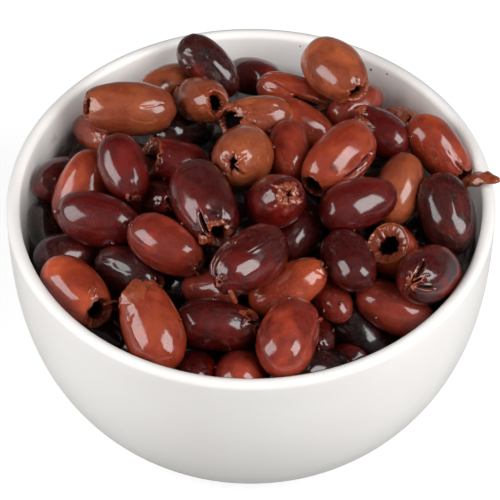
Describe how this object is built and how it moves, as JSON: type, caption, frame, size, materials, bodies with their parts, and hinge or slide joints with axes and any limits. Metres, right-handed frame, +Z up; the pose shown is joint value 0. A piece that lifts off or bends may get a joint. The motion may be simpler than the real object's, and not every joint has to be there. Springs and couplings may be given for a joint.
{
  "type": "dish of olives",
  "caption": "Heap of pitted dark red and brown olives in a plain white glazed bowl with a rounded lip and a low foot.",
  "frame": {"origin": "centre of the bowl's foot, on the surface that it stands on", "axes": "+Z up along the bowl's axis; -Y towards the side that the picture shows nearest"},
  "size_m": [0.14, 0.14, 0.091],
  "materials": {
    "bowl_glaze": "smooth white satin glaze",
    "olive_skin": null
  },
  "bodies": {
    "root": {"bowl": "bowl_glaze", "olives": "olive_skin"}
  },
  "joints": []
}
